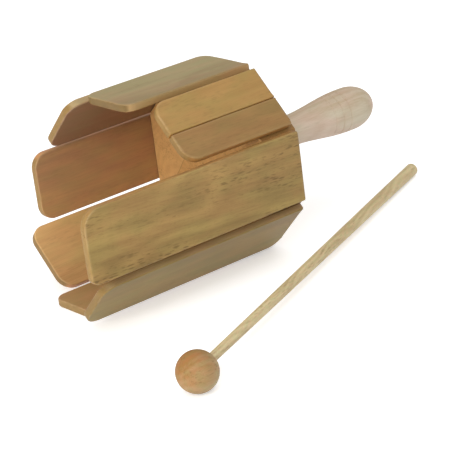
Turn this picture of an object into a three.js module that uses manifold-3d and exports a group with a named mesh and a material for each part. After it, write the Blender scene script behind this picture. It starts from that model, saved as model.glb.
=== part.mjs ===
// Stirring drum: nine wooden slats glued round an eight-sided block, a turned handle and a loose beater.
// Each slat has a free length of its own, so each sounds its own note when the beater is stirred round inside.
// Millimetres, +Z up. +X runs along the drum's axis towards the handle and +Y points away from the viewer.
// The drum lies on its bottom slat. The origin is on that slat's outer face, under the middle of the stretch that
// is glued to the block.

import * as THREE from 'three';
import { mergeVertices } from 'three/addons/utils/BufferGeometryUtils.js';
import Module from 'manifold-3d';

const wasm = await Module();
wasm.setup();

// Driving dimensions of the barrel
const drumAcrossFlats = 125;
const sideCount = 8;
const gluedLength = 26; // of each slat, over the block
const blockProud = 2.5; // how far the block stands out behind the slats
const slatThickness = 5;
const slatSetback = 1.3; // how far a slat's inner edge stops short of the block's corner
const slatRearCornerRadius = 1.5;
const slatRearCornerRadius1 = 3;
const slatFarRearCornerRadius3 = 9;
const slatLowerRearCornerRadius8 = 9;
const slatRearCornerRadius9 = 3;
const edgeEase = 0.9; // rounding of every slat edge
const halfSlatSlit = 0.35; // between the two half-width slats
const halfSlatSlitShift = 0.65; // of the slit from the middle of its side, towards the near slat
const halfSlatPairTrim = 0.3; // how much narrower the pair is than one full slat
const halfSlatPairShift = 0.65; // of the pair towards the top slat

// Slat lengths from end to end, in their order round the drum
const slatLength1 = 84.5;
const slatLength2 = 84.5;
const slatLength3 = 98.5;
const slatLength4 = 108.3;
const slatLength5 = 120;
const slatLength6 = 132.4;
const slatLength7 = 144.5;
const slatLength8 = 158;
const slatLength9 = 168.3;

// The free front corners are rounded by hand, so they differ
const slatCornerRadius = 10;
const slatCornerRadius3 = 8;
const slatCornerRadius6 = 10.5;
const slatCornerRadius7 = 8.5;
const slatLowerCornerRadius8 = 13;
const slatUpperCornerRadius9 = 12.5;
const slatLowerCornerRadius9 = 5.5;

const slatOverhang9 = 0.8; // the longest slat is glued on a little further back than the others

// Three slats are wider than the rest, each towards one of its neighbours
const slatExtraWidth4 = 1.9;
const slatExtraWidth6 = 1.8;
const slatExtraWidth9 = 1.6;

// Driving dimensions of the handle, measured from its shoulder on the block
const tenonDiameter = 16;
const tenonLength = 20;
const neckDiameter = 21;
const neckLength = 39.5;
const swellLength = 50;
const knobDiameter = 29.4;
const knobLength = 4;
const domeLength = 20.3;
const shoulderEase = 1;
const grooveCount = 3;
const firstGroove = 72;
const groovePitch = 6.5;
const grooveWidth = 1.6;
const grooveDepth = 0.5;

// Driving dimensions of the beater
const ballDiameter = 25;
const stickLength = 348; // from the ball's centre to the far end
const stickBallEndDiameter = 5.9;
const stickFarEndDiameter = 8.8;
const stickTenonLength = 8; // glued inside the ball
const stickEase = 0.8;
const beaterStandOff = 93.5; // from the near slat's face to the ball's centre
const beaterLead = 1.5; // of the ball's centre in front of the longest slat's end
const beaterYaw = THREE.MathUtils.degToRad(25.55);

// Clearances and the overrun of cuts
const glueGap = 0.3;
const boreClearance = 0.3;
const cutOverrun = 1;

// Smoothness, in steps
const cornerSteps = 6;
const easeSteps = 2;
const turnedSides = 40;
const swellSteps = 10;
const domeSteps = 9;
const ballSides = 36;
const ballRings = 22;
const stickSides = 20;

// Sizes that follow
const outerApothem = drumAcrossFlats / 2;
const innerApothem = outerApothem - slatThickness;
const sideAngle = (2 * Math.PI) / sideCount;
const slatWidth = 2 * (innerApothem * Math.tan(sideAngle / 2) - slatSetback);
const halfSlatWidth = (slatWidth - halfSlatPairTrim - halfSlatSlit) / 2;
const halfSlatWidth1 = halfSlatWidth - halfSlatSlitShift - halfSlatPairShift;
const halfSlatWidth2 = halfSlatWidth + halfSlatSlitShift + halfSlatPairShift;
const slatRear = gluedLength / 2;
const blockThickness = gluedLength + blockProud;
const rearFace = slatRear + blockProud;
const blockApothem = innerApothem - glueGap;
const longestSlatFront = slatRear + slatOverhang9 - slatLength9;

// Sides of the drum, counted from the top towards the viewer
const topSide = 0;
const nearUpperSide = 1;
const nearSide = 2;
const nearLowerSide = 3;
const bottomSide = 4;
const farLowerSide = 5;
const farSide = 6;
const farUpperSide = 7;

const woodColours = {
  slatOlive: 0xab8d52,
  slatYellow: 0xb58d45,
  slatBrown: 0xa27840,
  slatOrange: 0xb97f42,
  slatGrey: 0x8f7b4e,
  block: 0xb5733a,
  handle: 0xcdb999,
  ball: 0xb98d57,
  stick: 0xcbb27c,
};

function wood(colour, roughness) {
  return new THREE.MeshStandardMaterial({ color: colour, roughness, metalness: 0 });
}

const varnished = 0.45;
const bare = 0.75;

// Joins and cuts

function toManifold(geometry) {
  const plain = geometry.clone();
  plain.deleteAttribute('normal');
  plain.deleteAttribute('uv');
  const merged = mergeVertices(plain);
  const vertProperties = new Float32Array(merged.attributes.position.array);
  const triVerts = new Uint32Array(merged.index.array);
  return new wasm.Manifold(new wasm.Mesh({ numProp: 3, vertProperties, triVerts }));
}

function toGeometry(solid) {
  const mesh = solid.getMesh();
  const geometry = new THREE.BufferGeometry();
  geometry.setAttribute('position', new THREE.BufferAttribute(mesh.vertProperties, 3));
  geometry.setIndex(new THREE.BufferAttribute(mesh.triVerts, 1));
  geometry.computeVertexNormals();
  return geometry;
}

function cut(geometry, tool) {
  return toGeometry(toManifold(geometry).subtract(toManifold(tool)));
}

// A round solid turned about X from [distance along, radius] points that start and end on the axis
function turned(profile, sides) {
  const points = profile.map(([along, radius]) => new THREE.Vector2(radius, along));
  const geometry = new THREE.LatheGeometry(points, sides);
  geometry.rotateZ(-Math.PI / 2);
  return geometry;
}

// A plain round cutter along X
function cutter(radius, start, end, sides) {
  return turned([[start, 0], [start, radius], [end, radius], [end, 0]], sides);
}

// Slats

// Flat outline with the rear end at x = 0, and a radius for each corner, from the rear left one round the front
function slatOutline(length, width, [rearLeft, frontLeft, frontRight, rearRight]) {
  const half = width / 2;
  const quarter = Math.PI / 2;
  const corners = [
    [-rearLeft, half - rearLeft, rearLeft],
    [-length + frontLeft, half - frontLeft, frontLeft],
    [-length + frontRight, -half + frontRight, frontRight],
    [-rearRight, -half + rearRight, rearRight],
  ];
  const outline = new THREE.Shape();
  corners.forEach(([x, y, radius], index) => {
    outline.absarc(x, y, radius, index * quarter, (index + 1) * quarter, false);
  });
  outline.closePath();
  return outline;
}

function slatGeometry(outline) {
  const geometry = new THREE.ExtrudeGeometry(outline, {
    depth: slatThickness - 2 * edgeEase,
    bevelEnabled: true,
    bevelThickness: edgeEase,
    bevelSize: edgeEase,
    bevelOffset: -edgeEase,
    bevelSegments: easeSteps,
    curveSegments: cornerSteps,
  });
  geometry.translate(0, 0, edgeEase);
  return geometry;
}

// Turns a piece from the top side round to its own side of the drum
function onSide(side, mesh, overhang = 0) {
  const turn = new THREE.Group();
  turn.position.z = outerApothem;
  turn.rotation.x = side * sideAngle;
  mesh.position.x = slatRear + overhang;
  mesh.position.z = innerApothem;
  turn.add(mesh);
  return turn;
}

function fullSlat(name, side, length, colour, [leftRadius, rightRadius], settings = {}) {
  const { left = 0, right = 0, overhang } = settings;
  const { rearLeft = slatRearCornerRadius, rearRight = slatRearCornerRadius } = settings;
  const outline = slatOutline(length, slatWidth + left + right, [rearLeft, leftRadius, rightRadius, rearRight]);
  const mesh = new THREE.Mesh(slatGeometry(outline), wood(colour, varnished));
  mesh.name = name;
  mesh.position.y = (left - right) / 2;
  return onSide(side, mesh, overhang);
}

// Two half-width slats share one side, each with square corners along the slit between them
function halfSlat(name, side, length, width, colour, direction, rear) {
  const square = edgeEase + glueGap;
  const front = slatCornerRadius;
  const radii = direction > 0 ? [rear, front, square, square] : [square, square, front, rear];
  const outline = slatOutline(length, width, radii);
  const mesh = new THREE.Mesh(slatGeometry(outline), wood(colour, varnished));
  mesh.name = name;
  mesh.position.y = (direction * (width + halfSlatSlit)) / 2 - halfSlatSlitShift;
  return onSide(side, mesh);
}

function slats() {
  const { slatBrown, slatYellow, slatOlive, slatOrange, slatGrey } = woodColours;
  const usual = [slatCornerRadius, slatCornerRadius];
  const radii3 = [slatCornerRadius3, slatCornerRadius3];
  const radii6 = [slatCornerRadius6, slatCornerRadius6];
  const radii7 = [slatCornerRadius7, slatCornerRadius7];
  const radii8 = [slatCornerRadius, slatLowerCornerRadius8];
  const radii9 = [slatUpperCornerRadius9, slatLowerCornerRadius9];
  const rear3 = { rearLeft: slatFarRearCornerRadius3 };
  const rear8 = { rearRight: slatLowerRearCornerRadius8 };
  const rear9 = { rearLeft: slatRearCornerRadius9, rearRight: slatRearCornerRadius9 };
  const set9 = { left: slatExtraWidth9, overhang: slatOverhang9, ...rear9 };
  const group = new THREE.Group();
  group.add(halfSlat('slat_1', nearUpperSide, slatLength1, halfSlatWidth1, slatBrown, -1, slatRearCornerRadius1));
  group.add(halfSlat('slat_2', nearUpperSide, slatLength2, halfSlatWidth2, slatYellow, 1, slatRearCornerRadius));
  group.add(fullSlat('slat_3', topSide, slatLength3, slatOlive, radii3, rear3));
  group.add(fullSlat('slat_4', farUpperSide, slatLength4, slatBrown, usual, { left: slatExtraWidth4 }));
  group.add(fullSlat('slat_5', farSide, slatLength5, slatOrange, usual));
  group.add(fullSlat('slat_6', farLowerSide, slatLength6, slatOrange, radii6, { right: slatExtraWidth6 }));
  group.add(fullSlat('slat_7', bottomSide, slatLength7, slatOrange, radii7));
  group.add(fullSlat('slat_8', nearLowerSide, slatLength8, slatGrey, radii8, rear8));
  group.add(fullSlat('slat_9', nearSide, slatLength9, slatOlive, radii9, set9));
  return group;
}

// The eight-sided block that the slats are glued to, with a blind bore for the handle's tenon
function core() {
  const cornerRadius = blockApothem / Math.cos(sideAngle / 2);
  const outline = new THREE.Shape();
  for (let index = 0; index < sideCount; index += 1) {
    const angle = (index + 1 / 2) * sideAngle;
    const x = cornerRadius * Math.cos(angle);
    const y = cornerRadius * Math.sin(angle);
    if (index === 0) outline.moveTo(x, y);
    else outline.lineTo(x, y);
  }
  outline.closePath();
  const body = new THREE.ExtrudeGeometry(outline, { depth: blockThickness, bevelEnabled: false });
  body.translate(0, 0, -slatRear);
  body.rotateY(Math.PI / 2);
  const boreRadius = tenonDiameter / 2 + boreClearance;
  const boreStart = rearFace - tenonLength - boreClearance;
  const bore = cutter(boreRadius, boreStart, rearFace + cutOverrun, turnedSides);
  const mesh = new THREE.Mesh(cut(body, bore), wood(woodColours.block, varnished));
  mesh.name = 'core_block';
  mesh.position.z = outerApothem;
  return mesh;
}

// Handle

// Radius of the turned part at a distance from the shoulder, up to the start of the dome
function handleRadius(along) {
  const share = THREE.MathUtils.clamp((along - neckLength) / swellLength, 0, 1);
  const rise = (1 - Math.cos(Math.PI * share)) / 2;
  return THREE.MathUtils.lerp(neckDiameter, knobDiameter, rise) / 2;
}

function handleProfile() {
  const shoulder = glueGap;
  const neckRadius = neckDiameter / 2;
  const tenonRadius = tenonDiameter / 2;
  const domeStart = neckLength + swellLength + knobLength;
  const start = [
    [-tenonLength, 0],
    [-tenonLength, tenonRadius - shoulderEase],
    [-tenonLength + shoulderEase, tenonRadius],
    [shoulder, tenonRadius],
    [shoulder, neckRadius - shoulderEase],
    [shoulder + shoulderEase, neckRadius],
  ];
  let body = [];
  for (let step = 0; step <= swellSteps; step += 1) {
    const along = neckLength + (swellLength * step) / swellSteps;
    body.push([along, handleRadius(along)]);
  }
  for (let index = 0; index < grooveCount; index += 1) {
    const middle = firstGroove + index * groovePitch;
    const low = middle - grooveWidth / 2;
    const high = middle + grooveWidth / 2;
    body = body.filter(([along]) => along < low || along > high);
    body.push([low, handleRadius(low)]);
    body.push([middle, handleRadius(middle) - grooveDepth]);
    body.push([high, handleRadius(high)]);
  }
  body.sort((a, b) => a[0] - b[0]);
  const dome = [];
  for (let step = 0; step <= domeSteps; step += 1) {
    const angle = (Math.PI / 2) * (step / domeSteps);
    const radius = step === domeSteps ? 0 : (knobDiameter / 2) * Math.cos(angle);
    dome.push([domeStart + domeLength * Math.sin(angle), radius]);
  }
  return [...start, ...body, ...dome];
}

function handle() {
  const mesh = new THREE.Mesh(turned(handleProfile(), turnedSides), wood(woodColours.handle, bare));
  mesh.name = 'handle';
  mesh.position.set(rearFace, 0, outerApothem);
  return mesh;
}

// Beater

function beaterBall() {
  const radius = ballDiameter / 2;
  const ball = new THREE.SphereGeometry(radius, ballSides, ballRings);
  const socketRadius = stickBallEndDiameter / 2 + boreClearance;
  const socketStart = radius - stickTenonLength - boreClearance;
  const socket = cutter(socketRadius, socketStart, radius + cutOverrun, stickSides);
  const mesh = new THREE.Mesh(cut(ball, socket), wood(woodColours.ball, varnished));
  mesh.name = 'beater_ball';
  return mesh;
}

// The stick is a little thicker towards the end that is held
function beaterStick() {
  const nearRadius = stickBallEndDiameter / 2;
  const farRadius = stickFarEndDiameter / 2;
  const start = ballDiameter / 2 - stickTenonLength;
  const profile = [
    [start, 0],
    [start, nearRadius],
    [ballDiameter / 2, nearRadius],
    [stickLength - stickEase, farRadius],
    [stickLength, farRadius - stickEase],
    [stickLength, 0],
  ];
  const mesh = new THREE.Mesh(turned(profile, stickSides), wood(woodColours.stick, bare));
  mesh.name = 'beater_stick';
  return mesh;
}

// The beater lies on the floor in front of the drum, on its ball and on its stick's far end
function beater() {
  const group = new THREE.Group();
  group.add(beaterBall(), beaterStick());
  const farRadius = stickFarEndDiameter / 2;
  const reach = Math.hypot(stickLength, farRadius);
  const tilt = Math.asin(ballDiameter / 2 / reach) - Math.atan2(farRadius, stickLength);
  group.rotation.order = 'ZYX';
  group.rotation.z = beaterYaw;
  group.rotation.y = tilt;
  const along = longestSlatFront - beaterLead;
  group.position.set(along, -outerApothem - beaterStandOff, ballDiameter / 2);
  return group;
}

const stirringDrum = new THREE.Group();
stirringDrum.add(core(), slats(), handle(), beater());
export default stirringDrum;
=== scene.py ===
"""A wooden stirring drum with its beater, finished over its solid model.

Each wooden piece is built where the solid model has it, gets its own grained finish,
and moves with its body. The last operator lays out the floor, the lights and the camera.
"""

import math
import random
from typing import NamedTuple

import bmesh
import bpy
from bpy.props import FloatProperty, FloatVectorProperty, IntProperty, PointerProperty
from mathutils import Matrix, Vector


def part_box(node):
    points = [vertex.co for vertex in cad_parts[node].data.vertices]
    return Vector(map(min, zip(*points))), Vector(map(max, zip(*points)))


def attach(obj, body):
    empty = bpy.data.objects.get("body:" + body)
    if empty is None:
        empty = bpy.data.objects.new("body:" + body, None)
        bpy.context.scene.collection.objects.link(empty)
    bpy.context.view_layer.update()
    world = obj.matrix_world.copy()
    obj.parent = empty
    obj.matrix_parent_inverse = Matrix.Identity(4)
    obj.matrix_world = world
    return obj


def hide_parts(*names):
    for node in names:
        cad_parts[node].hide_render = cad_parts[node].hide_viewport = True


bl_info = {
    "name": "Stirring Drum",
    "version": (1, 0, 0),
    "blender": (4, 5, 0),
    "location": "3D Viewport > Sidebar > Drum",
    "description": "Builds the pieces, wood finishes and stage of a stirring drum",
    "category": "Add Mesh",
}

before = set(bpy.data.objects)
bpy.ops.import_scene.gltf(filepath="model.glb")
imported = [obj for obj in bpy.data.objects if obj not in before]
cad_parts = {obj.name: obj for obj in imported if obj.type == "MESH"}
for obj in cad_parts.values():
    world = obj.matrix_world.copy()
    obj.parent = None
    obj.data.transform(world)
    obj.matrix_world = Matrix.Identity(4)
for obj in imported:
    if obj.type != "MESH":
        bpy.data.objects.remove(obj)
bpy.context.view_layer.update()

MM = 0.001
DRUM = "drum"
BEATER = "beater"

# Sizes read from the solid model, in metres
_bottom_low, _bottom_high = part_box("slat_7")
_block_low, _block_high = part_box("core_block")
_ball_low, _ball_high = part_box("beater_ball")
AXIS_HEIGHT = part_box("slat_3")[1].z / 2
SLAT_THICKNESS = _bottom_high.z - _bottom_low.z
INNER_APOTHEM = AXIS_HEIGHT - SLAT_THICKNESS
BLOCK_APOTHEM = (_block_high.z - _block_low.z) / 2
REAR_FACE = _block_high.x
FRONT_FACE = _block_low.x
BALL_RADIUS = (_ball_high.z - _ball_low.z) / 2
BALL_CENTRE = (_ball_low + _ball_high) / 2
SIDE_ANGLE = math.pi / 4

# How finely the shapes are cut
ROUND_SIDES = 96
STICK_SIDES = 48
TIP = 0.05 * MM  # Radius of the last ring, where a turned piece closes on its axis
BALL_TIP = 0.04 * MM
SHARP_ANGLE = math.radians(38)


class Slat(NamedTuple):
    """One slat. Lengths are in millimetres, and a tint is what the colour is multiplied by."""

    name: str
    side: int  # Side of the drum that it is on, counted from the top towards the viewer
    radii: tuple  # Of its corners, from the rear left one round the front
    width: float
    offset: float  # How far it sits off the middle of its side
    pale: tuple  # Its lighter tone
    deep: tuple  # Its darker tone
    figure: float  # Strength of its figure
    pores: float  # Strength of its pores
    slope: float  # Slope of its grain, in radians
    seed: int  # Draws its grain and the unevenness of its edges
    sides: tuple  # Tint of its narrow sides, painted light and shade over the sawn wood's own tone
    inner: tuple  # Tint of its inner face, painted light and shade
    ends: float  # How light its cut ends are
    painted_light_lean: float  # Painted light and shade: how much paler it is painted with each millimetre across


# Each slat's side tint, inner tint and last number paint light and shade on it
SLATS = (
    Slat(
        "slat_1", 1, (1.2, 1.2, 10, 3), 20.892, -11.271, (0.338, 0.202, 0.067), (0.242, 0.138, 0.044),
        0.5, 0.25, 0.02, 11, (1.3, 1.12, 1.08), (1, 1, 1), 0.88, 0,
    ),
    Slat(
        "slat_2", 1, (1.5, 10, 1.2, 1.2), 23.492, 11.271, (0.422, 0.264, 0.083), (0.314, 0.187, 0.053),
        0.5, 0.25, -0.02, 27, (1.3, 1.12, 1.08), (1, 1, 1), 1.0, 0,
    ),
    Slat(
        "slat_3", 0, (9, 8, 8, 1.5), 45.034, 0, (0.345, 0.274, 0.121), (0.297, 0.198, 0.083),
        0.8, 0.2, 0.03, 32, (1.32, 1.27, 1.30), (1.12, 0.95, 0.8), 0.54, 0.022,
    ),
    Slat(
        "slat_4", 7, (1.5, 10, 10, 1.5), 46.934, 0.95, (0.42, 0.270, 0.100), (0.335, 0.206, 0.073),
        0.5, 0.15, 0.02, 44, (1.05, 1.15, 1.6), (0.95, 0.96, 1.62), 0.86, 0,
    ),
    Slat(
        "slat_5", 6, (1.5, 10, 10, 1.5), 45.034, 0, (0.56, 0.33, 0.117), (0.38, 0.21, 0.093),
        0.45, 0.12, 0.0, 58, (1.2, 1.03, 1.0), (1, 1, 1.19), 0.88, 0.016,
    ),
    Slat(
        "slat_6", 5, (1.5, 10.5, 10.5, 1.5), 46.834, -0.9, (0.66, 0.425, 0.160), (0.44, 0.248, 0.090),
        0.55, 0.15, 0.04, 63, (1.1, 0.95, 1.1), (1.04, 1.06, 1.15), 0.65, -0.018,
    ),
    Slat(
        "slat_7", 4, (1.5, 8.5, 8.5, 1.5), 45.034, 0, (0.42, 0.261, 0.100), (0.35, 0.204, 0.073),
        0.6, 0.4, 0.0, 71, (1.2, 1.03, 1.1), (1, 1, 1.15), 0.88, 0,
    ),
    Slat(
        "slat_8", 3, (1.5, 10, 13, 9), 45.034, 0, (0.365, 0.256, 0.072), (0.208, 0.136, 0.034),
        0.3, 0.2, 0.02, 85, (1.3, 1.3, 2.2), (1.25, 1.0, 1.25), 0.78, -0.018,
    ),
    Slat(
        "slat_9", 2, (3, 12.5, 5.5, 2), 46.634, 0.8, (0.403, 0.270, 0.090), (0.252, 0.158, 0.053),
        0.9, 0.95, 0.07, 139, (1.1, 0.95, 0.95), (1.15, 1.0, 1.0), 1.05, 0,
    ),
)


# Settings that a user would change


def length(name, description, default):
    return FloatProperty(
        name=name, description=description, default=default, min=0, max=1, unit="LENGTH", precision=5
    )


def shade(name, description, default):
    return FloatVectorProperty(
        name=name, description=description, default=default, size=3, min=0, max=1, subtype="COLOR"
    )


def share(name, description, default, high=1):
    return FloatProperty(
        name=name, description=description, default=default, min=0, max=high, subtype="FACTOR"
    )


def power(name, description, default):
    return FloatProperty(
        name=name, description=description, default=default, min=0, max=1000, unit="POWER"
    )


class SlatSettings(bpy.types.PropertyGroup):
    ease: length("Eased edge", "Radius of the rounded edges", 0.9 * MM)
    rear_ease: length("Eased rear edge", "Radius of the outer edge at the rear end", 2.4 * MM)
    # The worn band and the worn edge colour paint a highlight along the eased edges, on top of real sanding
    band: length("Worn band", "How far the worn edge reaches onto the outer face", 0.7 * MM)
    ends: shade("End grain", "Colour of the cut ends", (0.33, 0.200, 0.066))
    worn: shade("Worn edge", "Colour where the edges are sanded", (0.52, 0.360, 0.190))
    pore: shade("Pore", "Colour of the dark pores", (0.15, 0.090, 0.030))
    gloss: share("Roughness", "Roughness of the satin varnish", 0.42)


class BlockSettings(bpy.types.PropertyGroup):
    chamfer: length("Chamfer", "Chamfer along the block's edges", 0.5 * MM)
    bore: length("Bore", "Diameter of the bore for the handle", 16.6 * MM)
    bore_depth: length("Bore depth", "Depth of that bore", 20.3 * MM)
    pale: shade("Pale wood", "Lighter tone of the block", (0.53, 0.292, 0.100))
    deep: shade("Deep wood", "Darker tone of the block", (0.455, 0.232, 0.071))
    # The side tint paints shade on the block's sides, which show only in the narrow gaps between the slats,
    # together with the darker glue and varnish there
    side: shade("Sides", "Tint of the glued sides", (0.57, 0.58, 0.53))
    gloss: share("Roughness", "Roughness of the block's varnish", 0.45)


class HandleSettings(bpy.types.PropertyGroup):
    tenon: length("Tenon", "Diameter of the tenon in the block", 16 * MM)
    tenon_length: length("Tenon length", "Length of the tenon", 20 * MM)
    neck: length("Neck", "Diameter of the neck", 21 * MM)
    neck_length: length("Neck length", "Straight length of the neck", 39.5 * MM)
    swell_length: length("Swell length", "Length over which the handle swells", 50 * MM)
    knob: length("Knob", "Largest diameter of the handle", 29.4 * MM)
    knob_length: length("Knob length", "Straight length at the largest diameter", 4 * MM)
    dome: length("Dome", "Length of the domed end", 20.3 * MM)
    grooves: IntProperty(name="Grooves", description="Turned grooves round the swell", default=3, min=0)
    first_groove: length("First groove", "From the block to the first groove", 72 * MM)
    groove_pitch: length("Groove pitch", "From one groove to the next", 6.5 * MM)
    groove_width: length("Groove width", "Width of a groove", 1.6 * MM)
    groove_depth: length("Groove depth", "Depth of a groove", 0.5 * MM)
    pale: shade("Pale wood", "Lighter tone of the handle", (0.72, 0.640, 0.535))
    deep: shade("Deep wood", "Darker tone of the handle", (0.50, 0.385, 0.262))
    gloss: share("Roughness", "Roughness of the bare wood", 0.62)


class BeaterSettings(bpy.types.PropertyGroup):
    yaw: FloatProperty(
        name="Turn",
        description="Turn of the stick on the floor",
        default=math.radians(25.55),
        subtype="ANGLE",
    )
    stick_length: length("Stick length", "From the ball's centre to the far end", 348 * MM)
    thin_end: length("Stick at the ball", "Diameter where it enters the ball", 5.9 * MM)
    thick_end: length("Stick at the far end", "Diameter of the end that is held", 8.8 * MM)
    inside: length("Length inside the ball", "How deep the stick goes into the ball", 8 * MM)
    clearance: length("Clearance", "Clearance round the stick in the ball", 0.3 * MM)
    ease: length("Eased end", "Rounding of the stick's far end", 0.8 * MM)
    ball_pale: shade("Ball, pale", "Lighter tone of the ball", (0.425, 0.325, 0.165))
    ball_deep: shade("Ball, deep", "Darker tone of the ball", (0.330, 0.165, 0.052))
    stick_pale: shade("Stick, pale", "Lighter tone of the stick", (0.670, 0.565, 0.325))
    stick_deep: shade("Stick, deep", "Darker tone of the stick", (0.480, 0.375, 0.198))
    gloss: share("Roughness", "Roughness of the beater's wood", 0.5)


class StageSettings(bpy.types.PropertyGroup):
    floor: shade("Floor", "Colour of the floor", (0.92, 0.92, 0.92))
    lift: share("Floor lift", "How far the floor is lifted to white for the camera", 0.42)
    sky: share("Surround", "Strength of the light from all round", 0.60, 4)
    key: power("Key lamp", "Power of the soft lamp beside the drum", 6)
    front: power("Front lamp", "Power of the soft lamp before the open end", 8)
    top: power("Top lamp", "Power of the soft lamp above", 4)
    lens: FloatProperty(
        name="Lens",
        description="Focal length in millimetres",
        default=158.79,
        min=10,
        max=500,
        unit="CAMERA",
    )


# Shader graphs

# Sockets of the Mix node when it mixes colours, and of the Map Range node
MIX_AMOUNT, MIX_FIRST, MIX_SECOND, MIX_RESULT = 0, 6, 7, 2
MAPPED, MAP_LOW, MAP_HIGH = 0, 1, 2
NODE_SPACING = 180


class Level:
    """One socket of a shader graph. Used in a sum, it adds the Math nodes for it."""

    def __init__(self, finish, socket):
        self.finish = finish
        self.socket = socket

    def __add__(self, other):
        return self.finish.maths("ADD", self, other)

    def __radd__(self, other):
        return self.finish.maths("ADD", other, self)

    def __sub__(self, other):
        return self.finish.maths("SUBTRACT", self, other)

    def __rsub__(self, other):
        return self.finish.maths("SUBTRACT", other, self)

    def __mul__(self, other):
        return self.finish.maths("MULTIPLY", self, other)

    def __rmul__(self, other):
        return self.finish.maths("MULTIPLY", other, self)


class Finish:
    """The shader graph of one material, or of the world."""

    def __init__(self, tree):
        self.tree = tree
        tree.nodes.clear()

    def node(self, kind, settings=None, values=None):
        """Adds a node, sets it up, then fills or links its sockets."""
        made = self.tree.nodes.new(kind)
        for key, value in (settings or {}).items():
            setattr(made, key, value)
        for key, value in (values or {}).items():
            if isinstance(value, Level):
                self.tree.links.new(value.socket, made.inputs[key])
            else:
                made.inputs[key].default_value = value
        made.location = (NODE_SPACING * len(self.tree.nodes), 0)
        return made

    def levels(self, outputs, kind, settings=None, values=None):
        """Adds a node and gives several of its outputs."""
        made = self.node(kind, settings, values)
        return [Level(self, made.outputs[output]) for output in outputs]

    def level(self, kind, settings=None, values=None, output=0):
        """Adds a node and gives one of its outputs."""
        return self.levels([output], kind, settings, values)[0]

    def maths(self, operation, *operands, clamp=False):
        settings = {"operation": operation, "use_clamp": clamp}
        return self.level("ShaderNodeMath", settings, dict(enumerate(operands)))

    def vector(self, operation, *operands, output="Vector"):
        settings = {"operation": operation}
        return self.level("ShaderNodeVectorMath", settings, dict(enumerate(operands)), output)

    def blend(self, amount, first, second, mode="MIX"):
        """Mixes two colours, or with MULTIPLY tints the first by the second."""
        settings = {"data_type": "RGBA", "blend_type": mode}
        values = {MIX_AMOUNT: amount, MIX_FIRST: first, MIX_SECOND: second}
        return self.level("ShaderNodeMix", settings, values, MIX_RESULT)

    def step(self, level, low, high):
        """Goes smoothly from 0 at low to 1 at high."""
        settings = {"interpolation_type": "SMOOTHSTEP"}
        values = {MAPPED: level, MAP_LOW: low, MAP_HIGH: high}
        return self.level("ShaderNodeMapRange", settings, values)

    def split(self, vector):
        return self.levels("XYZ", "ShaderNodeSeparateXYZ", None, {"Vector": vector})

    def rays(self, *kinds):
        """1 for a ray of any of these kinds, and 0 for all others."""
        chosen, *others = self.levels([f"Is {kind} Ray" for kind in kinds], "ShaderNodeLightPath")
        for other in others:
            chosen = self.maths("MAXIMUM", chosen, other)
        return chosen


def new_material(name):
    material = bpy.data.materials.new(name)
    material.use_nodes = True
    return material, Finish(material.node_tree)


def rgba(colour):
    return (*colour, 1.0)


# Wood

FURTHEST_SHIFT = 900  # In millimetres. Each piece's grain is shifted, so that no two pieces share it

# Noises: their cells in each millimetre along and across the grain, their detail and their roughness
RING_SWAY = (0.013, 0.03, 1.0)
RING_WIDTHS = (0.002, 0.10, 1.0)
BANDS = (0.008, 0.14, 3.0, 0.6)
CLOUDS = (0.018, 0.05)
FIBRES = (0.05, 1.9, 2.0, 0.6)
PORE_STREAKS = (0.012, 0.07)
DRAWN_PORES = (0.13, 0.60, 3.0, 0.62)
END_PATCHES = (0.1, 0.16)
END_SPECKS = (0.6, 0.5)
WEAR_AND_HIGHLIGHT_NOISE = (0.05, 0.12, 3.0, 0.6)
DRIFT_ALONG, DRIFT_ACROSS = 0.9, 2.7  # Divided by the spread of the piece's drifts

# Scattered pores: their cells in each millimetre along and across the grain, and their size in cells
LONG_PORES = (0.15, 0.75, 0.58)
SHORT_PORES = (0.30, 1.9, 0.42)
PORE_CORE = 0.3  # Share of a pore's size that is fully dark
PORES_SHOWN, SHOWN_SOFTNESS = 0.45, 0.1  # Share of the cells that have a pore, and how softly it fades in
PORES_BETWEEN = 0.2  # What is left of the long pores between their streaks
LONG_STRENGTH, SHORT_STRENGTH = 0.8, 0.3

# Where a pattern or a turned face starts to count, and where it counts in full
STREAKED = (0.40, 0.60)
DRAWN = (0.53, 0.70)
DRIFTED = (0.35, 0.68)
WEAR_AND_HIGHLIGHT_PATCHED = (0.35, 0.65)
GLUED = (0.45, 0.10)
END_FACES = (0.55, 0.85)
# The next two mask the narrow sides and the inner face for their tints of painted light and shade
SIDE_FACES = (0.45, 0.15)
INNER_FACES = (-0.3, -0.6)

# How much each pattern moves the tone, the cut ends, the roughness and the relief of the wood
TONE_BANDS, TONE_RINGS, TONE_CLOUDS, TONE_FIBRES = 1.9, 0.42, 1.1, 0.55
ENDS_PATCHES, ENDS_SPECKS, ENDS_RINGS = 0.6, 0.2, 0.2
ROUGH_FIBRES, ROUGH_PORES, ROUGH_ENDS = 0.10, 0.18, 0.10
RELIEF_FIBRES, RELIEF_PORES, RELIEF_RINGS = 0.35, 0.8, 0.25
RELIEF_DEPTH = 0.12 * MM

SWAY = 26  # How far the growth rings swing sideways along the grain, in millimetres
UNEVENNESS = 7  # How far they depart from even widths, in radians of a ring
WARM, COOL = (0.06, -0.03, -0.03), (-0.04, 0, -0.06)  # What the wood's drifts add to its tint
END_SHADOW, END_LIGHT = 0.78, 1.2  # The two tones of the cut ends
END_COVER = 0.85  # How far they cover the wood
SEAM_WAVE, SEAM_SOFTNESS = 1.6, 0.3  # How far the seam wanders and how soft it is, in millimetres
GLUE_COVER = 0.45  # How far the line of glue covers the wood
WEAR_AND_HIGHLIGHT_EVERYWHERE, WEAR_AND_HIGHLIGHT_IN_PATCHES = 0.04, 0.36  # How far the worn colour, real sanding with a painted highlight, covers the edges
COAT_ROUGHNESS, SPECULAR = 0.32, 0.22


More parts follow.
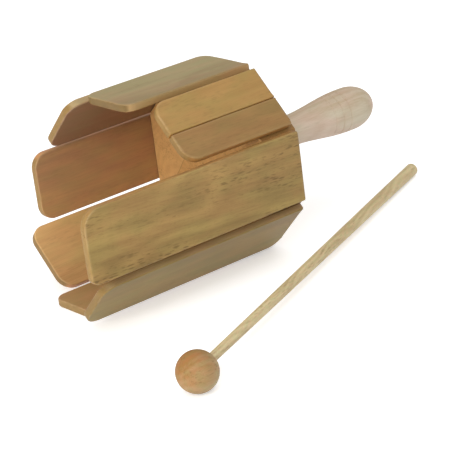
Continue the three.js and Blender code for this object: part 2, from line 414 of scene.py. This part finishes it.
class Look(NamedTuple):
    """The finish of one piece of wood. Lengths are in millimetres."""

    pale: tuple  # Its lighter tone
    deep: tuple  # Its darker tone
    pore: tuple  # Colour of its pores
    figure: float  # Strength of its figure
    pores: float  # Strength of its pores
    gloss: float  # Roughness of its surface
    heart: tuple  # Where the middle of its growth rings is
    rings: float  # From one growth ring to the next
    seed: int  # Draws its shift in the grain
    bump: float  # Strength of its relief
    coat: float = 0.0  # Weight of the coat of varnish
    slope: float = 0.0  # Slope of its grain, in radians
    sides: tuple = None  # Tint of its narrow sides, painted light and shade over the wood's own tone
    inner: tuple = None  # Tint of its inner face, painted light and shade
    ends: tuple = None  # Colour of its cut ends
    worn: tuple = None  # Colour of its worn edges, which also carries a painted highlight
    spread: float = 30.0  # Size of its drifts from warm to cool
    drift: float = 1.0  # Strength of those drifts
    painted_light_lean: tuple = (0, 0, 0)  # Painted light and shade: how much paler it is painted with each millimetre


class Seam(NamedTuple):
    """Where two boards are glued together. Lengths are in millimetres."""

    way: tuple  # Shares across and up of the way from the axis to the seam
    distance: float  # From the axis to the seam
    tint: tuple  # Tint of the board beyond it


class Grain:
    """The patterns of one piece of wood, with its grain along X."""

    def __init__(self, finish, look):
        self.finish = finish
        source = random.Random(look.seed)
        shift = [source.uniform(-FURTHEST_SHIFT, FURTHEST_SHIFT) for _ in range(3)]
        at_rest, facing = finish.levels(("Object", "Normal"), "ShaderNodeTexCoord")
        self.millimetres = finish.vector("MULTIPLY", at_rest, (1 / MM, 1 / MM, 1 / MM))
        values = {"Vector": self.millimetres, "Location": shift, "Rotation": (0, 0, look.slope)}
        self.place = finish.level("ShaderNodeMapping", None, values)
        self.rings = self.growth_rings(look.heart, look.rings)
        self.bands = self.noise(*BANDS)
        self.clouds = self.noise(*CLOUDS)
        self.fibres = self.noise(*FIBRES)
        self.pores = self.dark_pores()
        facing_x, _, self.facing_z = finish.split(facing)
        self.end = finish.step(finish.maths("ABSOLUTE", facing_x), *END_FACES)

    def stretched(self, along, across):
        """The place in the wood, counted in cells, so many in each millimetre along and across it."""
        return self.finish.vector("MULTIPLY", self.place, (along, across, across))

    def noise(self, along, across, detail=2.0, roughness=0.5):
        values = {"Vector": self.stretched(along, across), "Scale": 1, "Detail": detail}
        return self.finish.level("ShaderNodeTexNoise", None, {**values, "Roughness": roughness})

    def flecks(self, along, across, size):
        """Soft dark pores that lie along the grain, on a share of scattered points."""
        finish = self.finish
        settings = {"voronoi_dimensions": "3D"}
        values = {"Vector": self.stretched(along, across), "Scale": 1, "Randomness": 1}
        distance, number = finish.levels(("Distance", "Color"), "ShaderNodeTexVoronoi", settings, values)
        chance = finish.split(number)[0]
        shown = finish.step(chance, 1 - PORES_SHOWN, 1 + SHOWN_SOFTNESS - PORES_SHOWN)
        return shown * finish.step(distance, size, size * PORE_CORE)

    def growth_rings(self, heart, width):
        """Rings round a heart that lies beside the piece, drawn out along the grain."""
        finish = self.finish
        across = finish.vector("MULTIPLY", finish.vector("SUBTRACT", self.millimetres, heart), (0, 1, 1))
        radius = finish.vector("LENGTH", across, output="Value") + SWAY * self.noise(*RING_SWAY)
        turn = radius * (2 * math.pi / width) + UNEVENNESS * self.noise(*RING_WIDTHS)
        return finish.maths("SINE", turn) * 0.5 + 0.5

    def dark_pores(self):
        """Long pores, thick in some streaks and thin in others, and short ones everywhere."""
        finish = self.finish
        streaks = finish.step(self.noise(*PORE_STREAKS), *STREAKED)
        density = PORES_BETWEEN + (1 - PORES_BETWEEN) * streaks
        scattered = LONG_STRENGTH * (self.flecks(*LONG_PORES) * density)
        drawn = LONG_STRENGTH * (finish.step(self.noise(*DRAWN_PORES), *DRAWN) * density)
        short = SHORT_STRENGTH * self.flecks(*SHORT_PORES)
        return finish.maths("MAXIMUM", finish.maths("MAXIMUM", scattered, drawn), short)

    def body(self, look):
        """The colour of the wood itself, in its two tones, drifting between warm and cool, with painted
        light and shade that grows paler one way across it.
        """
        finish = self.finish
        bands, rings = (self.bands - 0.5) * TONE_BANDS, (self.rings - 0.5) * TONE_RINGS
        clouds, fibres = (self.clouds - 0.5) * TONE_CLOUDS, (self.fibres - 0.5) * TONE_FIBRES
        # Painted light and shade: the tone grows paler one way across the piece
        paler = finish.vector("DOT_PRODUCT", self.millimetres, look.painted_light_lean, output="Value")
        swing = look.figure * (bands + rings + clouds) + fibres + paler
        tone = finish.maths("ADD", swing, 0.5, clamp=True)
        drift = finish.step(self.noise(DRIFT_ALONG / look.spread, DRIFT_ACROSS / look.spread), *DRIFTED)
        warm, cool = [rgba([1 + look.drift * part for part in tint]) for tint in (WARM, COOL)]
        colour = finish.blend(tone, rgba(look.deep), rgba(look.pale))
        return finish.blend(1, colour, finish.blend(drift, warm, cool), "MULTIPLY")

    def with_ends(self, colour, ends):
        """Lays patchy end grain over the cut ends."""
        finish = self.finish
        patches = ENDS_PATCHES * self.noise(*END_PATCHES) + ENDS_SPECKS * self.noise(*END_SPECKS)
        tone = patches + ENDS_RINGS * self.rings
        shadow, light = [rgba([level * part for part in ends]) for level in (END_SHADOW, END_LIGHT)]
        return finish.blend(self.end * END_COVER, colour, finish.blend(tone, shadow, light))

    def with_tints_and_painted_light(self, colour, sides, inner):
        """Tints the sides, which on a piece with an inner face are only its narrow ones, and that face, with
        painted light and shade.
        """
        finish = self.finish
        if sides:
            side = 1 - self.end
            if inner:
                side = finish.step(finish.maths("ABSOLUTE", self.facing_z), *SIDE_FACES) * side
            colour = finish.blend(side, colour, rgba(sides), "MULTIPLY")
        if inner:
            colour = finish.blend(finish.step(self.facing_z, *INNER_FACES), colour, rgba(inner), "MULTIPLY")
        return colour

    def with_seam(self, colour, seam, line_colour):
        """Tints the board beyond the seam, and draws the line of glue."""
        finish = self.finish
        reach = finish.vector("DOT_PRODUCT", self.millimetres, (0, *seam.way), output="Value")
        beyond = reach - seam.distance + SEAM_WAVE * (self.clouds - 0.5)
        other = finish.step(beyond, -SEAM_SOFTNESS, SEAM_SOFTNESS)
        colour = finish.blend(other, colour, rgba(seam.tint), "MULTIPLY")
        line = finish.step(finish.maths("ABSOLUTE", beyond), *GLUED)
        return finish.blend(GLUE_COVER * line, colour, rgba(line_colour))

    def with_wear_and_highlight(self, colour, worn_and_highlight_colour):
        """Pales the edges where the mesh says so, with real sanding and a painted highlight together, more
        in some patches than in others.
        """
        finish = self.finish
        worn = finish.level("ShaderNodeAttribute", {"attribute_name": "worn"}, output="Fac")
        wear_and_highlight_patches = finish.step(self.noise(*WEAR_AND_HIGHLIGHT_NOISE), *WEAR_AND_HIGHLIGHT_PATCHED)
        amount = worn * (WEAR_AND_HIGHLIGHT_EVERYWHERE + WEAR_AND_HIGHLIGHT_IN_PATCHES * wear_and_highlight_patches)
        return finish.blend(amount, colour, rgba(worn_and_highlight_colour))


def wood(name, look, seam=None):
    """A solid wood with rings, bands, fibres and pores. seam is where two boards are glued."""
    material, finish = new_material(name)
    grain = Grain(finish, look)
    colour = grain.body(look)
    if look.ends:
        colour = grain.with_ends(colour, look.ends)
    dark = finish.maths("MULTIPLY", grain.pores, look.pores, clamp=True)
    colour = finish.blend(dark, colour, rgba(look.pore))
    colour = grain.with_tints_and_painted_light(colour, look.sides, look.inner)
    if seam:
        colour = grain.with_seam(colour, seam, look.pore)
    if look.worn:
        colour = grain.with_wear_and_highlight(colour, look.worn)
    fibres, rings = grain.fibres - 0.5, grain.rings - 0.5
    rough = look.gloss + ROUGH_FIBRES * fibres + ROUGH_PORES * grain.pores * look.pores
    height = fibres * RELIEF_FIBRES - grain.pores * look.pores * RELIEF_PORES + rings * RELIEF_RINGS
    relief = {"Strength": look.bump, "Distance": RELIEF_DEPTH, "Height": height}
    surface = {
        "Base Color": colour,
        "Roughness": rough + ROUGH_ENDS * grain.end,
        "Normal": finish.level("ShaderNodeBump", None, relief),
        "Coat Weight": look.coat,
        "Coat Roughness": COAT_ROUGHNESS,
        "Specular IOR Level": SPECULAR,
    }
    shader = finish.level("ShaderNodeBsdfPrincipled", None, surface)
    finish.node("ShaderNodeOutputMaterial", None, {"Surface": shader})
    return material


# Shapes

# Waves of an uneven edge: the least that a size is drawn from, how sizes fall with order, and the last start
SMALLEST_WAVE, WAVE_FALL, LAST_START = 0.4, 0.6, 6.28


def wobble(seed, count):
    """A smooth random course round a closed line, from about -1 to 1, made of a count of waves."""
    source = random.Random(seed)
    waves = []
    for order in range(1, count + 1):
        size = source.uniform(SMALLEST_WAVE, 1) / order**WAVE_FALL
        waves.append((size, order, source.uniform(0, LAST_START)))
    scale = sum(size for size, _, _ in waves)

    def course(at):
        total = sum(size * math.sin(2 * math.pi * order * at + start) for size, order, start in waves)
        return 2 * total / scale

    return course


def skin(name, rings, wear_and_highlight=None):
    """Joins rings of equally many points into one closed surface. The last argument gives each point's share
    of sanding and painted highlight.
    """
    mesh = bpy.data.meshes.new(name)
    build = bmesh.new()
    layer = build.verts.layers.float.new("worn") if wear_and_highlight else None
    loops = [[build.verts.new(point) for point in ring] for ring in rings]
    for loop, amounts in zip(loops, wear_and_highlight or ()):
        for vertex, amount in zip(loop, amounts):
            vertex[layer] = amount
    count = len(loops[0])
    for lower, upper in zip(loops, loops[1:]):
        for index in range(count):
            following = (index + 1) % count
            build.faces.new((lower[index], lower[following], upper[following], upper[index]))
    build.faces.new(reversed(loops[0]))
    build.faces.new(loops[-1])
    bmesh.ops.recalc_face_normals(build, faces=build.faces)
    build.to_mesh(mesh)
    build.free()
    mesh.shade_smooth()
    mesh.set_sharp_from_angle(angle=SHARP_ANGLE)
    return mesh


def place_piece(name, mesh, material, matrix, body, node):
    """Puts a finished piece in the scene, in place of its solid."""
    old = bpy.data.objects.get(name)
    if old is not None:
        bpy.data.objects.remove(old)
    piece = bpy.data.objects.new(name, mesh)
    bpy.context.scene.collection.objects.link(piece)
    mesh.materials.append(material)
    piece.matrix_world = matrix
    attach(piece, body)
    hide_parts(node)


def round_section(angle):
    """Radius of a round section."""
    return 1.0


def eight_sided(angle):
    """Radius of an eight-sided section of apothem 1 with flats at the top and the bottom."""
    turn = (angle + SIDE_ANGLE / 2) % SIDE_ANGLE - SIDE_ANGLE / 2
    return 1 / math.cos(turn)


def turned(name, profile, sides=ROUND_SIDES, sway=None):
    """A piece turned about X from (distance along, radius, section) entries."""
    rings = []
    for along, radius, section in profile:
        ring = []
        for index in range(sides):
            angle = 2 * math.pi * index / sides
            size = radius * section(angle)
            if sway:
                size -= sway(along, index / sides)
            ring.append((along, size * math.cos(angle), size * math.sin(angle)))
        rings.append(ring)
    return skin(name, rings)


def round_profile(points):
    return [(along, radius, round_section) for along, radius in points]


# The outline and the edges of a slat
WIDE_CORNER = 3 * MM  # A corner with a larger radius than this is cut in more steps
WIDE_STEPS, CORNER_STEPS, EDGE_STEPS = 14, 6, 6
POINT_GAP = 4 * MM
INNER_BAND = 0.45 * MM  # Width of the flat band beside the edge on the inner face
EASE_UNEVENNESS = 0.16  # How much the radius of the edge departs from its own size
DEEPEST_DENT = 0.10 * MM
BAND_LIMIT, EDGE_LIMIT = 0.985, 0.96  # Share of a corner's room that the bands and the edges may take up
EASE_WAVES, DENT_WAVES = 13, 10
SIDE_WEAR_AND_HIGHLIGHT, FRONT_WEAR_AND_HIGHLIGHT = 0.4, 0.6  # Wear and painted highlight all round, and what the front end has more
OUTER_WEAR_AND_HIGHLIGHT = 0.8  # Least wear and painted highlight where the outer edge meets its face


def slat_outline(size, width, radii):
    """Points round a slat from its rear left corner, each with its way outwards and the room inside it."""
    half = width / 2
    ends = ((0, 1), (-size, 1), (-size, -1), (0, -1))
    points = []
    for quarter, ((x, side), radius) in enumerate(zip(ends, radii)):
        centre = Vector((x + math.copysign(radius, -x - size / 2), side * (half - radius), 0))
        steps = WIDE_STEPS if radius > WIDE_CORNER else CORNER_STEPS
        for step in range(steps + 1):
            angle = (quarter + step / steps) * math.pi / 2
            way = Vector((math.cos(angle), math.sin(angle), 0))
            points.append((centre + radius * way, way, radius))
    filled = []
    for (point, way, room), (after, way_after, room_after) in zip(points, points[1:] + points[:1]):
        reach = (after - point).length
        steps = max(1, int(reach / POINT_GAP))
        for step in range(steps):
            part = step / steps
            spare = min(room, room_after) + reach * min(part, 1 - part) / 2
            filled.append((point.lerp(after, part), way.lerp(way_after, part), spare))
    return filled


def slat_mesh(name, size, width, radii, settings, seed):
    """A flat slat whose edges are rounded over by hand, a little unevenly, and most at its rear end."""
    outline = slat_outline(size, width, radii)
    ease_course, dent_course = wobble(seed, EASE_WAVES), wobble(seed + 1, DENT_WAVES)
    turns = [math.pi / 2 * step / EDGE_STEPS for step in range(EDGE_STEPS + 1)]
    # Each ring: 0 for the inner face or 1 for the outer one, its rise from there and its reach
    # outwards in shares of the edge's radius, and how far it lies inside the edge besides
    levels = [(0.0, 0.0, 0.0, INNER_BAND)]
    levels += [(0.0, 1 - math.cos(turn), math.sin(turn), 0) for turn in turns]
    levels += [(1.0, math.sin(turn) - 1, math.cos(turn), 0) for turn in turns]
    levels.append((1.0, 0.0, 0.0, settings.band))
    rings = []
    for top, rise, spread, inset in levels:
        limit = BAND_LIMIT if inset else EDGE_LIMIT
        ring = []
        for index, (point, way, room) in enumerate(outline):
            at = index / len(outline)
            ease = settings.ease + top * (settings.rear_ease - settings.ease) * max(way.x, 0) ** 2
            eased = ease * (1 + EASE_UNEVENNESS * ease_course(at))
            dent = DEEPEST_DENT * (1 + dent_course(at)) / 2
            inward = min(dent + inset + eased * (1 - spread), limit * room)
            spot = point - inward * way
            ring.append((spot.x, spot.y, top * SLAT_THICKNESS + rise * eased))
        rings.append(ring)
    # Shares of sanding and painted highlight across the inner and outer edges, and round the outline with
    # more at the front end
    inner = [math.sin(2 * turn) for turn in turns]
    outer = [max(math.sin(2 * turn), OUTER_WEAR_AND_HIGHLIGHT * math.sin(turn) ** 4) for turn in turns]
    wear_and_highlight_round = [SIDE_WEAR_AND_HIGHLIGHT + FRONT_WEAR_AND_HIGHLIGHT * max(-way.x, 0) for _, way, _ in outline]
    return skin(name, rings, [[amount * wear_and_highlight_share for wear_and_highlight_share in wear_and_highlight_round] for amount in (0.0, *inner, *outer, 0.0)])


# Operators, one for each piece or group of like pieces


class DRUM_OT_block(bpy.types.Operator):
    """Build the eight-sided block that carries the slats"""

    bl_idname = "drum.block"
    bl_label = "Block"

    def execute(self, context):
        settings = context.scene.drum_block
        half = (REAR_FACE - FRONT_FACE) / 2
        cut, bore = settings.chamfer, settings.bore / 2
        profile = [
            (-half, TIP, round_section),
            (-half, BLOCK_APOTHEM - cut, eight_sided),
            (-half + cut, BLOCK_APOTHEM, eight_sided),
            (half - cut, BLOCK_APOTHEM, eight_sided),
            (half, BLOCK_APOTHEM - cut, eight_sided),
            (half, bore + cut, round_section),
            (half - cut, bore, round_section),
            (half - settings.bore_depth, bore, round_section),
            (half - settings.bore_depth, TIP, round_section),
        ]
        look = Look(
            pale=settings.pale,
            deep=settings.deep,
            pore=context.scene.drum_slats.pore,
            figure=0.8,
            pores=0.5,
            gloss=settings.gloss,
            heart=(0, 30, -22),
            rings=5.5,
            seed=5,
            bump=0.25,
            coat=0.04,
            sides=settings.side,
            ends=settings.pale,
        )
        seam = Seam(way=(0.777, 0.63), distance=18.3, tint=(1.12, 1.16, 1.25))
        matrix = Matrix.Translation(((REAR_FACE + FRONT_FACE) / 2, 0, AXIS_HEIGHT))
        mesh, finish = turned("block", profile), wood("block_wood", look, seam)
        place_piece("block", mesh, finish, matrix, DRUM, "core_block")
        return {"FINISHED"}


class DRUM_OT_slats(bpy.types.Operator):
    """Build the nine sounding slats"""

    bl_idname = "drum.slats"
    bl_label = "Slats"

    def execute(self, context):
        settings = context.scene.drum_slats
        for slat in SLATS:
            low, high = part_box(slat.name)
            radii = [radius * MM for radius in slat.radii]
            mesh = slat_mesh(slat.name, high.x - low.x, slat.width * MM, radii, settings, slat.seed)
            look = Look(
                pale=slat.pale,
                deep=slat.deep,
                pore=settings.pore,
                figure=slat.figure,
                pores=slat.pores,
                gloss=settings.gloss,
                heart=(0, 9, -38),
                rings=7.5,
                seed=slat.seed,
                bump=0.3,
                coat=0.04,
                slope=slat.slope,
                sides=slat.sides,
                inner=slat.inner,
                ends=[slat.ends * part for part in settings.ends],
                worn=settings.worn,
                painted_light_lean=(0, slat.painted_light_lean, 0),
            )
            turn = Matrix.Translation((0, 0, AXIS_HEIGHT)) @ Matrix.Rotation(slat.side * SIDE_ANGLE, 4, "X")
            matrix = turn @ Matrix.Translation((high.x, slat.offset * MM, INNER_APOTHEM))
            name = slat.name.replace("slat_", "sounding_slat_")
            place_piece(name, mesh, wood(f"{name}_wood", look), matrix, DRUM, slat.name)
        return {"FINISHED"}


class DRUM_OT_handle(bpy.types.Operator):
    """Build the turned handle with its grooves"""

    bl_idname = "drum.handle"
    bl_label = "Handle"

    def execute(self, context):
        settings = context.scene.drum_handle
        look = Look(
            pale=settings.pale,
            deep=settings.deep,
            pore=context.scene.drum_slats.pore,
            figure=0.45,
            pores=0.12,
            gloss=settings.gloss,
            heart=(0, 14, 9),
            rings=4.5,
            seed=202,
            bump=0.35,
            slope=0.03,
            ends=settings.deep,
            drift=0.8,
            # Painted light: paler towards the bottom, where light from the floor falls
            painted_light_lean=(0, 0, -0.028),
        )
        matrix = Matrix.Translation((REAR_FACE, 0, AXIS_HEIGHT))
        mesh, finish = turned("handle", self.profile(settings)), wood("handle_wood", look)
        place_piece("turned_handle", mesh, finish, matrix, DRUM, "handle")
        return {"FINISHED"}

    def profile(self, settings):
        """The handle's outline from the end of the tenon to the tip of the dome."""
        gap, ease, ring_gap = 0.3 * MM, 1 * MM, 0.4 * MM
        shoulder_steps, dome_steps = 4, 24
        tenon, neck, knob = settings.tenon / 2, settings.neck / 2, settings.knob / 2
        dome_start = settings.neck_length + settings.swell_length + settings.knob_length

        def body(along):
            part = min(max((along - settings.neck_length) / settings.swell_length, 0), 1)
            radius = neck + (knob - neck) * (1 - math.cos(math.pi * part)) / 2
            for index in range(settings.grooves):
                away = abs(along - settings.first_groove - index * settings.groove_pitch)
                reach = away / (settings.groove_width / 2)
                if reach < 1:
                    radius -= settings.groove_depth * (1 + math.cos(math.pi * reach)) / 2
            return radius

        tail = -settings.tenon_length
        points = [(tail, TIP), (tail, tenon - ease), (tail + ease, tenon), (gap, tenon), (gap, neck - ease)]
        for step in range(1, shoulder_steps + 1):
            angle = math.pi / 2 * step / shoulder_steps
            points.append((gap + ease * (1 - math.cos(angle)), neck - ease * (1 - math.sin(angle))))
        start = gap + ease
        steps = int((dome_start - gap - ease) / ring_gap)
        for step in range(1, steps + 1):
            along = start + (dome_start - gap - ease) * step / steps
            points.append((along, body(along)))
        for step in range(1, dome_steps + 1):
            angle = math.pi / 2 * step / dome_steps
            points.append((dome_start + settings.dome * math.sin(angle), max(knob * math.cos(angle), TIP)))
        return round_profile(points)


def beater_matrix(settings):
    """Lays the beater on the floor, on its ball and on the far end of its stick."""
    far = settings.thick_end / 2
    reach = math.hypot(settings.stick_length, far)
    tilt = math.asin(BALL_RADIUS / reach) - math.atan2(far, settings.stick_length)
    turn = Matrix.Rotation(settings.yaw, 4, "Z") @ Matrix.Rotation(tilt, 4, "Y")
    return Matrix.Translation(BALL_CENTRE) @ turn


class DRUM_OT_ball(bpy.types.Operator):
    """Build the beater's ball with the socket for its stick"""

    bl_idname = "drum.ball"
    bl_label = "Beater ball"

    def execute(self, context):
        settings = context.scene.drum_beater
        look = Look(
            pale=settings.ball_pale,
            deep=settings.ball_deep,
            pore=context.scene.drum_slats.pore,
            figure=0.45,
            pores=0.5,
            gloss=settings.gloss,
            heart=(0, 4, 10),
            rings=5,
            seed=371,
            bump=0.25,
            coat=0.05,
            spread=8,
            drift=1.2,
            # Painted light: paler towards the floor, and towards the camera's right
            painted_light_lean=(0.018, -0.016, -0.040),
        )
        matrix = beater_matrix(settings)
        mesh = turned("ball", self.profile(settings))
        mesh.transform(matrix.to_3x3().to_4x4())
        matrix = Matrix.Translation(matrix.translation)
        place_piece("ball", mesh, wood("ball_wood", look), matrix, BEATER, "beater_ball")
        return {"FINISHED"}

    def profile(self, settings):
        """The ball's outline from the floor of its socket over the mouth to its far side."""
        mouth_width, mouth_depth, steps = 0.25 * MM, 0.2 * MM, 56
        socket = settings.thin_end / 2 + settings.clearance
        floor = BALL_RADIUS - settings.inside - settings.clearance
        mouth = math.asin((socket + mouth_width) / BALL_RADIUS)
        lip = BALL_RADIUS * math.cos(mouth) - mouth_depth
        points = [(floor, TIP), (floor, socket), (lip, socket)]
        for step in range(steps + 1):
            angle = mouth + (math.pi - mouth) * step / steps
            points.append((BALL_RADIUS * math.cos(angle), max(BALL_RADIUS * math.sin(angle), BALL_TIP)))
        return round_profile(points)


class DRUM_OT_stick(bpy.types.Operator):
    """Build the beater's stick"""

    bl_idname = "drum.stick"
    bl_label = "Beater stick"

    def execute(self, context):
        settings = context.scene.drum_beater
        look = Look(
            pale=settings.stick_pale,
            deep=settings.stick_deep,
            pore=context.scene.drum_slats.pore,
            figure=0.9,
            pores=0.5,
            gloss=settings.gloss,
            heart=(0, 5, 2),
            rings=3.2,
            seed=410,
            bump=0.4,
            ends=settings.stick_pale,
            spread=4,
        )
        unevenness = 0.06 * MM
        eased = settings.stick_length - settings.ease
        waves = wobble(5, 15)

        def sway(along, round_at):
            if not BALL_RADIUS < along < eased:
                return 0
            return unevenness * (1 + waves(along / settings.stick_length + round_at)) / 2

        mesh = turned("stick", self.profile(settings), STICK_SIDES, sway)
        matrix = beater_matrix(settings)
        place_piece("stick", mesh, wood("stick_wood", look), matrix, BEATER, "beater_stick")
        return {"FINISHED"}

    def profile(self, settings):
        """The stick's outline from its end in the ball to the one that is held."""
        steps, end_steps = 90, 5
        thin, thick, ease = settings.thin_end / 2, settings.thick_end / 2, settings.ease
        start, end = BALL_RADIUS - settings.inside, settings.stick_length
        points = [(start, TIP), (start, thin), (BALL_RADIUS, thin)]
        for step in range(1, steps + 1):
            part = step / steps
            points.append((BALL_RADIUS + (end - ease - BALL_RADIUS) * part, thin + (thick - thin) * part))
        for step in range(1, end_steps + 1):
            angle = math.pi / 2 * step / end_steps
            points.append((end - ease * (1 - math.sin(angle)), thick - ease * (1 - math.cos(angle))))
        points.append((end, TIP))
        return round_profile(points)


# The stage, in metres

FLOOR_REACH = 6
LAMPS = (  # The setting with its power, its width and its place
    ("key", 0.9, (-0.95, -0.85, 0.85)),
    ("front", 0.6, (-1.4, -0.2, 0.4)),
    ("top", 1.2, (0.3, -0.3, 1.3)),
)
UNREFLECTED_LAMPS = ("front",)
CAMERA_RIGHT = Vector((0.76465, -0.63228, -0.12463))
CAMERA_UP = Vector((0.31323, 0.19564, 0.92931))
CAMERA_PLACE = Vector((-0.737466, -0.973101, 0.467795))
SENSOR_WIDTH = 36  # In millimetres
NEAREST_SEEN, FURTHEST_SEEN = 0.05, 20


class DRUM_OT_stage(bpy.types.Operator):
    """Lay the floor and set the lights and the camera"""

    bl_idname = "drum.stage"
    bl_label = "Stage"

    def execute(self, context):
        scene = context.scene
        settings = scene.drum_stage
        scene.view_settings.view_transform = "Standard"
        self.floor(scene, settings)
        self.surround(scene, settings)
        for name, width, spot in LAMPS:
            self.lamp(scene, name, getattr(settings, name), width, Vector(spot))
        self.camera(scene, settings)
        return {"FINISHED"}

    def floor(self, scene, settings):
        """A pale floor that the camera sees lifted to white."""
        mesh = bpy.data.meshes.new("floor")
        corners = [(FLOOR_REACH * x, FLOOR_REACH * y, 0) for x, y in ((-1, -1), (1, -1), (1, 1), (-1, 1))]
        mesh.from_pydata(corners, [], [(0, 1, 2, 3)])
        material, finish = new_material("floor_white")
        matt = finish.level("ShaderNodeBsdfDiffuse", None, {"Color": rgba(settings.floor)})
        strength = finish.rays("Camera", "Glossy", "Transmission") * settings.lift
        glow = finish.level("ShaderNodeEmission", None, {"Strength": strength})
        both = finish.level("ShaderNodeAddShader", None, {0: matt, 1: glow})
        finish.node("ShaderNodeOutputMaterial", None, {"Surface": both})
        mesh.materials.append(material)
        floor = bpy.data.objects.new("floor", mesh)
        scene.collection.objects.link(floor)

    def surround(self, scene, settings):
        """Even white light from all round, seen as plain white."""
        world = bpy.data.worlds.new("surround")
        world.use_nodes = True
        scene.world = world
        finish = Finish(world.node_tree)
        strength = finish.rays("Camera", "Transmission") * (1 - settings.sky) + settings.sky
        light = finish.level("ShaderNodeBackground", None, {"Color": (1, 1, 1, 1), "Strength": strength})
        finish.node("ShaderNodeOutputWorld", None, {"Surface": light})

    def lamp(self, scene, name, energy, width, spot):
        """A round soft lamp that shines on the middle of the drum."""
        light = bpy.data.lights.new(f"{name}_lamp", "AREA")
        light.shape = "DISK"
        light.size = width
        light.energy = energy
        lamp = bpy.data.objects.new(f"{name}_lamp", light)
        scene.collection.objects.link(lamp)
        lamp.location = spot
        lamp.rotation_euler = (Vector((0, 0, AXIS_HEIGHT)) - spot).to_track_quat("-Z", "Y").to_euler()
        lamp.visible_glossy = name not in UNREFLECTED_LAMPS

    def camera(self, scene, settings):
        view = bpy.data.cameras.new("camera")
        view.sensor_fit = "HORIZONTAL"
        view.sensor_width = SENSOR_WIDTH
        view.lens = settings.lens
        view.clip_start, view.clip_end = NEAREST_SEEN, FURTHEST_SEEN
        camera = bpy.data.objects.new("camera", view)
        scene.collection.objects.link(camera)
        back = CAMERA_RIGHT.cross(CAMERA_UP)
        matrix = Matrix((CAMERA_RIGHT, CAMERA_UP, back)).transposed().to_4x4()
        matrix.translation = CAMERA_PLACE
        camera.matrix_world = matrix
        scene.camera = camera


OPERATORS = (DRUM_OT_block, DRUM_OT_slats, DRUM_OT_handle, DRUM_OT_ball, DRUM_OT_stick, DRUM_OT_stage)
SETTINGS = {
    "drum_slats": SlatSettings,
    "drum_block": BlockSettings,
    "drum_handle": HandleSettings,
    "drum_beater": BeaterSettings,
    "drum_stage": StageSettings,
}


class DRUM_PT_pieces(bpy.types.Panel):
    """Lists the drum's pieces and their settings"""

    bl_idname = "DRUM_PT_pieces"
    bl_label = "Stirring drum"
    bl_space_type = "VIEW_3D"
    bl_region_type = "UI"
    bl_category = "Drum"

    def draw(self, context):
        layout = self.layout
        for operator in OPERATORS:
            layout.operator(operator.bl_idname)
        for name, group in SETTINGS.items():
            layout.separator()
            for key in group.__annotations__:
                layout.prop(getattr(context.scene, name), key)


CLASSES = (*SETTINGS.values(), *OPERATORS, DRUM_PT_pieces)


def register():
    for item in CLASSES:
        bpy.utils.register_class(item)
    for name, group in SETTINGS.items():
        setattr(bpy.types.Scene, name, PointerProperty(type=group))


def unregister():
    for name in SETTINGS:
        delattr(bpy.types.Scene, name)
    for item in reversed(CLASSES):
        bpy.utils.unregister_class(item)


def main():
    register()
    for operator in OPERATORS:
        group, _, call = operator.bl_idname.partition(".")
        getattr(getattr(bpy.ops, group), call)()


if __name__ == "__main__":
    main()
